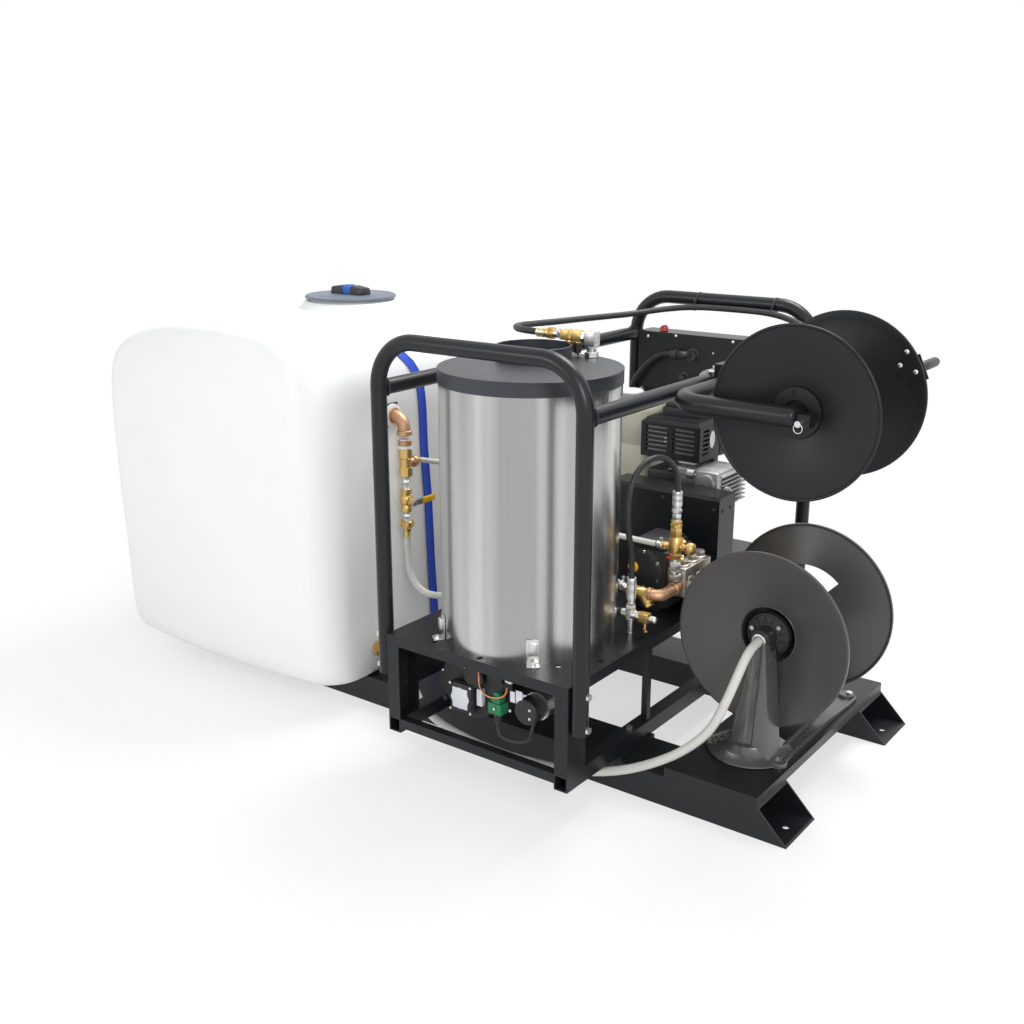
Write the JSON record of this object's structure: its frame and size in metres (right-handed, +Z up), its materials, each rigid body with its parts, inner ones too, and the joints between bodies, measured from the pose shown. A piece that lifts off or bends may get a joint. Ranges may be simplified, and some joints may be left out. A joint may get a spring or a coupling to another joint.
{
  "type": "skid-mounted hot water pressure washer",
  "caption": "Skid-mounted hot-water pressure washer: white water tank, stainless burner in a black tube frame, engine-driven pump, and two hose reels on a steel skid.",
  "frame": {"origin": "centre of the footprint, on the ground under the skid rails", "axes": "+X runs along the skid toward the hose reels, +Y to the engine side, +Z up"},
  "size_m": [2.3852, 1.314, 1.2456],
  "materials": {
    "black_frame": "satin",
    "stainless": "brushed",
    "zinc": "satin",
    "brass": "satin",
    "bronze": "satin",
    "nickel": "satin",
    "white_plastic": "satin",
    "black_plastic": "satin",
    "reel_grey": "satin",
    "rubber": "matte",
    "grey_hose": "satin",
    "blue_web": "woven",
    "blue_plastic": "satin",
    "cream_plastic": "satin",
    "yellow_plastic": "satin",
    "red_plastic": "satin",
    "cast_alloy": "cast",
    "wool": "fibrous",
    "green_block": "satin"
  },
  "bodies": {
    "machine": {"ball_valve": "brass", "base_frame": "black_frame", "belt_guard": "black_frame", "blower_housing": "black_plastic", "burner_fuel_pump": "zinc", "burner_insulation": "wool", "burner_latches": "zinc", "burner_lid": "black_frame", "burner_motor": "black_frame", "burner_shell": "stainless", "bypass_hose": "grey_hose", "coil_outlet_fittings": "brass", "control_box": "black_frame", "control_conduit": "rubber", "crossbars": "black_frame", "drive_belts": "rubber", "engine_block": "cast_alloy", "frame_bolts": "zinc", "fuel_tank": "cream_plastic", "heating_coil": "zinc", "ignition_block": "green_block", "inlet_strainer": "bronze", "machine_bed": "black_frame", "muffler": "zinc", "muffler_guard": "black_frame", "outlet_hose": "rubber", "outlet_switches": "black_plastic", "pressure_hose": "rubber", "pressure_outlet_tee": "zinc", "pump_crankcase": "black_plastic", "pump_manifold": "nickel", "recoil_starter": "black_plastic", "reel_deck": "black_frame", "reel_fasteners": "zinc", "reel_yoke": "black_frame", "roll_hoops": "black_frame", "skid_rails": "black_frame", "supply_hose": "grey_hose", "supply_reel_stand": "reel_grey", "tank_hose": "grey_hose", "tank_outlet_fittings": "bronze", "tank_strap": "blue_web", "unloader_valve": "brass", "water_tank": "white_plastic"},
    "pressure_reel": {"pressure_reel": "black_frame", "reel_crank": "black_frame"},
    "crank_grip": {"crank_grip": "black_plastic"},
    "supply_reel": {"supply_reel": "reel_grey"},
    "reel_lock_pin": {"reel_lock_pin": "zinc"},
    "tank_lid": {"tank_lid": "black_plastic"},
    "tank_lid_latch": {"tank_lid_latch": "blue_plastic"},
    "valve_lever": {"valve_lever": "yellow_plastic"},
    "unloader_knob": {"unloader_knob": "brass"},
    "pump_pulley": {"pump_pulley": "cast_alloy"},
    "drive_pulley": {"drive_pulley": "cast_alloy"},
    "blower_fan": {"blower_fan": "zinc"},
    "recoil_grip": {"recoil_grip": "black_plastic"},
    "fuel_cap": {"fuel_cap": "black_plastic"},
    "oil_cap": {"oil_cap": "yellow_plastic"},
    "selector_knob": {"selector_knob": "red_plastic"}
  },
  "joints": [
    {"name": "pressure_reel_spin", "type": "hinge", "parent": "machine", "child": "pressure_reel", "pos_m": [0.984, -0.139, 1.037], "axis": [0, 1, 0], "continuous": true},
    {"name": "crank_grip_spin", "type": "hinge", "parent": "pressure_reel", "child": "crank_grip", "pos_m": [1.16192, 0.08, 1.11921], "axis": [0, 1, 0], "continuous": true},
    {"name": "reel_lock_pin_slide", "type": "slide", "parent": "machine", "child": "reel_lock_pin", "axis": [0, 1, 0], "range_m": [0, 0.026]},
    {"name": "supply_reel_spin", "type": "hinge", "parent": "machine", "child": "supply_reel", "pos_m": [0.8835, 0, 0.4096], "axis": [0, 1, 0], "continuous": true},
    {"name": "tank_lid_turn", "type": "hinge", "parent": "machine", "child": "tank_lid", "pos_m": [-0.7, 0, 1.17], "axis": [0, 0, 1], "range_deg": [0, 90]},
    {"name": "tank_lid_latch_lift", "type": "slide", "parent": "tank_lid", "child": "tank_lid_latch", "axis": [0, 0, 1], "range_m": [0, 0.008], "stiffness_N_per_m": 300},
    {"name": "valve_lever_turn", "type": "hinge", "parent": "machine", "child": "valve_lever", "pos_m": [-0.18, -0.312, 0.63], "axis": [1, 0, 0], "range_deg": [-90, 0]},
    {"name": "unloader_knob_turn", "type": "hinge", "parent": "machine", "child": "unloader_knob", "pos_m": [0.64, -0.116, 0.595], "axis": [1, 0, 0], "range_deg": [0, 340]},
    {"name": "engine_shaft_spin", "type": "hinge", "parent": "machine", "child": "drive_pulley", "pos_m": [0.36, 0.2, 0.56], "axis": [0, 1, 0], "continuous": true},
    {"name": "pump_shaft_spin", "type": "hinge", "parent": "machine", "child": "pump_pulley", "pos_m": [0.5, 0, 0.5], "axis": [0, 1, 0], "continuous": true},
    {"name": "blower_fan_spin", "type": "hinge", "parent": "machine", "child": "blower_fan", "pos_m": [0.235, -0.48, 0.25], "axis": [0, 1, 0], "continuous": true},
    {"name": "recoil_grip_pull", "type": "slide", "parent": "machine", "child": "recoil_grip", "axis": [0, 0, 1], "range_m": [0, 0.25], "stiffness_N_per_m": 20},
    {"name": "fuel_cap_turn", "type": "hinge", "parent": "machine", "child": "fuel_cap", "pos_m": [0.13, 0.4, 0.88], "axis": [0, 0, 1], "range_deg": [-120, 0]},
    {"name": "oil_cap_turn", "type": "hinge", "parent": "machine", "child": "oil_cap", "pos_m": [0.46, -0.105, 0.505], "axis": [0, 1, 0], "range_deg": [0, 180]},
    {"name": "selector_knob_turn", "type": "hinge", "parent": "machine", "child": "selector_knob", "pos_m": [0.134, 0.596, 1.07], "axis": [0, 0, 1], "range_deg": [0, 90]}
  ],
  "couplings": [
    {"joint": "pump_shaft_spin", "follows": "engine_shaft_spin", "ratio": 0.5}
  ]
}
